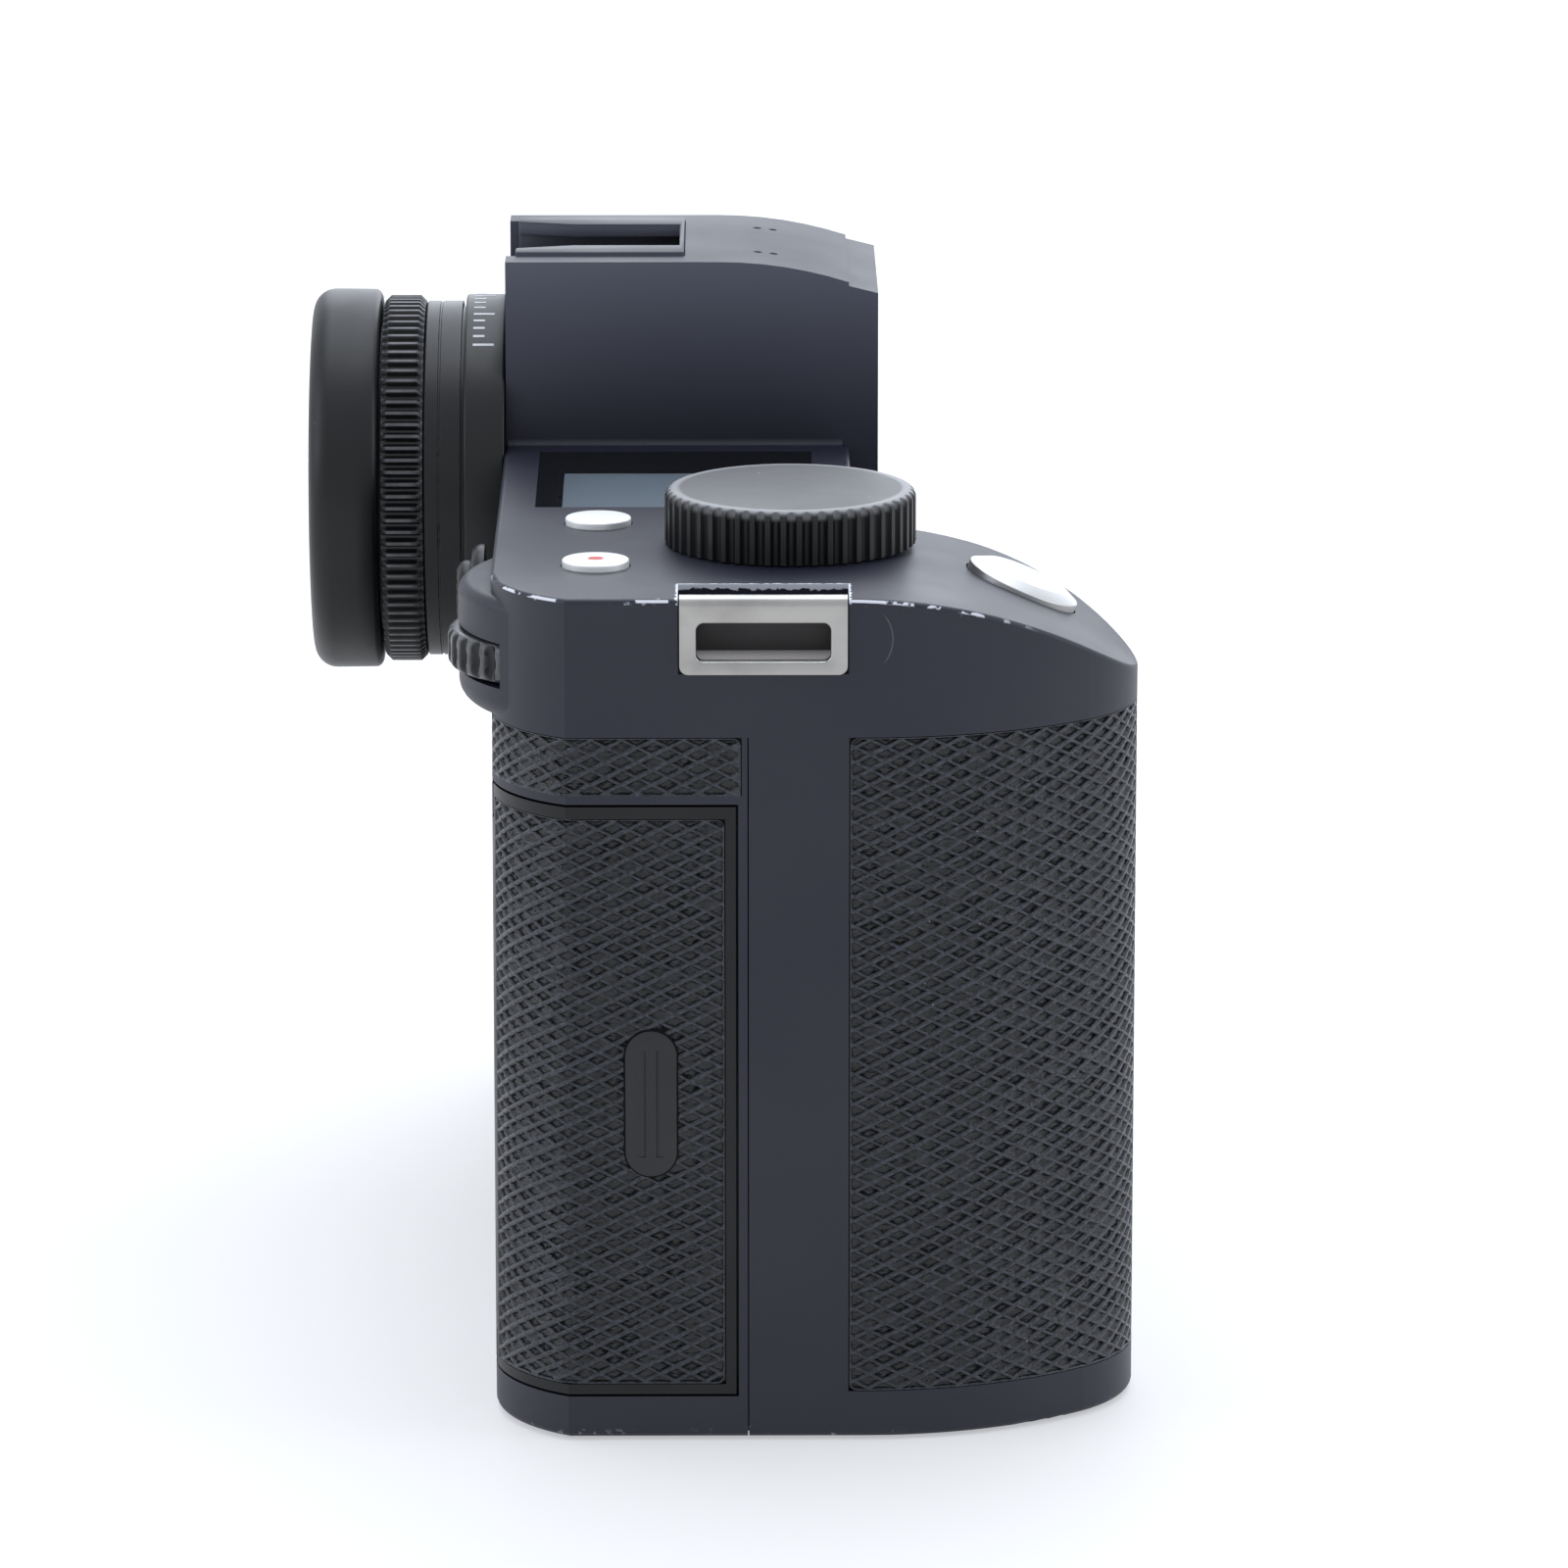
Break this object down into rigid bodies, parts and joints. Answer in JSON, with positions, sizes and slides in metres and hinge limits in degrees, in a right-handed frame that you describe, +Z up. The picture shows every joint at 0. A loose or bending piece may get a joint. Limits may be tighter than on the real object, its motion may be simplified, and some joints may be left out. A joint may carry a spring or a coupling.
{
  "type": "mirrorless camera",
  "caption": "Full frame mirrorless camera body with a deep grip, round finder, hot shoe, bayonet lens mount, top dial, rear thumb wheel and hinged card and port doors.",
  "frame": {"origin": "centre of the tripod socket's mouth in the base plate, on the lens axis and at the middle of the body's depth", "axes": "+X to the far end, away from the grip; +Y to the rear, towards the eyepiece; +Z up"},
  "size_m": [0.1476, 0.0841, 0.1044],
  "materials": {
    "cover_paint": "satin blue-black anodised aluminium",
    "shell_paint": "satin blue-black coated casting",
    "covering": "moulded diamond pattern",
    "dial_black": "black anodised, satin",
    "silver": "satin",
    "steel": "brushed",
    "mount_steel": "turned",
    "black_plastic": "fine grain",
    "soft_rubber": "matt",
    "glass": "coated",
    "panel": "reflective display",
    "sensor": "coated silicon",
    "ceramic": "matt",
    "board": "circuit board",
    "brass": "gold plated",
    "cell": "moulded"
  },
  "bodies": {
    "camera_body": {"front_shell": "shell_paint", "rear_shell": "shell_paint", "top_cover": "cover_paint", "front_fascia": "cover_paint", "base_plate": "cover_paint", "tripod_socket": "steel", "base_screws": "steel", "grip_leather": "covering", "rear_leather": "covering", "far_leather": "covering", "hot_shoe": "steel", "strap_lugs": "steel", "lens_mount_ring": "mount_steel", "mount_screws": "mount_steel", "mount_contacts": "brass", "inner_chassis": "shell_paint", "light_baffle": "black_plastic", "shutter_frame": "black_plastic", "sensor_glass": "glass", "sensor_package": "ceramic", "image_sensor": "sensor", "sensor_plate": "steel", "main_board": "board", "eyepiece_barrel": "dial_black", "eyepiece_lens": "glass", "evf_display": "panel", "eyecup": "soft_rubber", "thumb_wheel_bracket": "steel", "top_display_glass": "glass", "top_display_panel": "panel", "card_slot_block": "black_plastic", "port_block": "black_plastic", "battery_bay": "black_plastic", "rear_screen_glass": "glass", "rear_screen_panel": "panel"},
    "top_dial": {"top_dial": "dial_black"},
    "thumb_wheel": {"thumb_wheel": "dial_black"},
    "display_button": {"display_button": "silver"},
    "record_button": {"record_button": "silver"},
    "shutter_button": {"shutter_button": "silver"},
    "joystick_gimbal": {"joystick_gimbal": "steel"},
    "joystick": {"joystick": "soft_rubber"},
    "diopter_ring": {"diopter_ring": "black_plastic"},
    "card_door_carrier": {"card_door_carrier": "steel"},
    "card_door": {"card_door": "black_plastic", "card_door_leather": "covering", "card_door_pad": "black_plastic"},
    "port_door": {"port_door": "soft_rubber"},
    "grip_side_lower_button": {"grip_side_lower_button": "black_plastic"},
    "grip_side_upper_button": {"grip_side_upper_button": "black_plastic"},
    "far_side_lower_button": {"far_side_lower_button": "black_plastic"},
    "far_side_upper_button": {"far_side_upper_button": "black_plastic"},
    "finder_button": {"finder_button": "black_plastic"},
    "power_lever": {"power_lever": "dial_black"},
    "lens_release_button": {"lens_release_button": "silver"},
    "lens_lock_pin": {"lens_lock_pin": "steel"},
    "shutter_leaf_1": {"shutter_leaf_1": "black_plastic"},
    "shutter_leaf_2": {"shutter_leaf_2": "black_plastic"},
    "battery": {"battery": "cell"},
    "battery_catch": {"battery_catch": "silver"}
  },
  "joints": [
    {"name": "dial_turn", "type": "hinge", "parent": "camera_body", "child": "top_dial", "pos_m": [-0.0626, -0.0111, 0.0849], "axis": [0, 0, 1], "continuous": true},
    {"name": "wheel_turn", "type": "hinge", "parent": "camera_body", "child": "thumb_wheel", "pos_m": [-0.0725, 0.01065, 0.0765], "axis": [0, 0, 1], "continuous": true},
    {"name": "display_press", "type": "slide", "parent": "camera_body", "child": "display_button", "axis": [0, 0, -1], "range_m": [0, 0.0005], "stiffness_N_per_m": 500, "springref_m": -0.001},
    {"name": "record_press", "type": "slide", "parent": "camera_body", "child": "record_button", "axis": [0, 0, -1], "range_m": [0, 0.0005], "stiffness_N_per_m": 500, "springref_m": -0.001},
    {"name": "release_press", "type": "slide", "parent": "camera_body", "child": "shutter_button", "axis": [0, 0.3914, -0.9202], "range_m": [0, 0.001], "stiffness_N_per_m": 500, "springref_m": -0.001},
    {"name": "stick_nod", "type": "hinge", "parent": "camera_body", "child": "joystick_gimbal", "pos_m": [-0.0495, 0.0147, 0.0764], "axis": [1, 0, 0], "range_deg": [-8, 8], "stiffness_Nm_per_rad": 0.02},
    {"name": "stick_sway", "type": "hinge", "parent": "joystick_gimbal", "child": "joystick", "pos_m": [-0.0495, 0.0147, 0.0764], "axis": [0, 0, 1], "range_deg": [-8, 8], "stiffness_Nm_per_rad": 0.02},
    {"name": "diopter_turn", "type": "hinge", "parent": "camera_body", "child": "diopter_ring", "pos_m": [0, 0.029, 0.0783], "axis": [0, 1, 0], "range_deg": [-60, 60]},
    {"name": "door_release", "type": "slide", "parent": "camera_body", "child": "card_door_carrier", "axis": [0, 1, 0], "range_m": [0, 0.003]},
    {"name": "card_door_swing", "type": "hinge", "parent": "card_door_carrier", "child": "card_door", "pos_m": [-0.0774, 0.0171, 0.0343], "axis": [0, 0, -1], "range_deg": [0, 95]},
    {"name": "port_door_swing", "type": "hinge", "parent": "camera_body", "child": "port_door", "pos_m": [0.0563, -0.008, 0.036], "axis": [0, 0, -1], "range_deg": [0, 95]},
    {"name": "grip_side_lower_press", "type": "slide", "parent": "camera_body", "child": "grip_side_lower_button", "axis": [0, -1, 0], "range_m": [0, 0.0005], "stiffness_N_per_m": 500, "springref_m": -0.001},
    {"name": "grip_side_upper_press", "type": "slide", "parent": "camera_body", "child": "grip_side_upper_button", "axis": [0, -1, 0], "range_m": [0, 0.0005], "stiffness_N_per_m": 500, "springref_m": -0.001},
    {"name": "far_side_lower_press", "type": "slide", "parent": "camera_body", "child": "far_side_lower_button", "axis": [0, -1, 0], "range_m": [0, 0.0005], "stiffness_N_per_m": 500, "springref_m": -0.001},
    {"name": "far_side_upper_press", "type": "slide", "parent": "camera_body", "child": "far_side_upper_button", "axis": [0, -1, 0], "range_m": [0, 0.0005], "stiffness_N_per_m": 500, "springref_m": -0.001},
    {"name": "finder_press", "type": "slide", "parent": "camera_body", "child": "finder_button", "axis": [0, -1, 0], "range_m": [0, 0.0005], "stiffness_N_per_m": 500, "springref_m": -0.001},
    {"name": "power_turn", "type": "hinge", "parent": "camera_body", "child": "power_lever", "pos_m": [0.034, 0.0185, 0.065], "axis": [0, 1, 0], "range_deg": [0, 40]},
    {"name": "lens_release_press", "type": "slide", "parent": "camera_body", "child": "lens_release_button", "axis": [0, 1, 0], "range_m": [0, 0.0012], "stiffness_N_per_m": 500, "springref_m": -0.001},
    {"name": "lens_lock_draw", "type": "slide", "parent": "camera_body", "child": "lens_lock_pin", "axis": [0, 1, 0], "range_m": [0, 0.0012]},
    {"name": "leaf_1_rise", "type": "slide", "parent": "camera_body", "child": "shutter_leaf_1", "axis": [0, 0, 1], "range_m": [0, 0.026]},
    {"name": "leaf_2_rise", "type": "slide", "parent": "camera_body", "child": "shutter_leaf_2", "axis": [0, 0, 1], "range_m": [0, 0.013]},
    {"name": "battery_draw", "type": "slide", "parent": "camera_body", "child": "battery", "axis": [0, 0, -1], "range_m": [0, 0.062]},
    {"name": "catch_turn", "type": "hinge", "parent": "camera_body", "child": "battery_catch", "pos_m": [-0.0505, -0.009, 0.0007], "axis": [0, 0, 1], "range_deg": [0, 30], "stiffness_Nm_per_rad": 0.02, "springref_deg": -17.19}
  ],
  "couplings": [
    {"joint": "lens_lock_draw", "follows": "lens_release_press", "ratio": 1},
    {"joint": "leaf_2_rise", "follows": "leaf_1_rise", "ratio": 0.5}
  ]
}
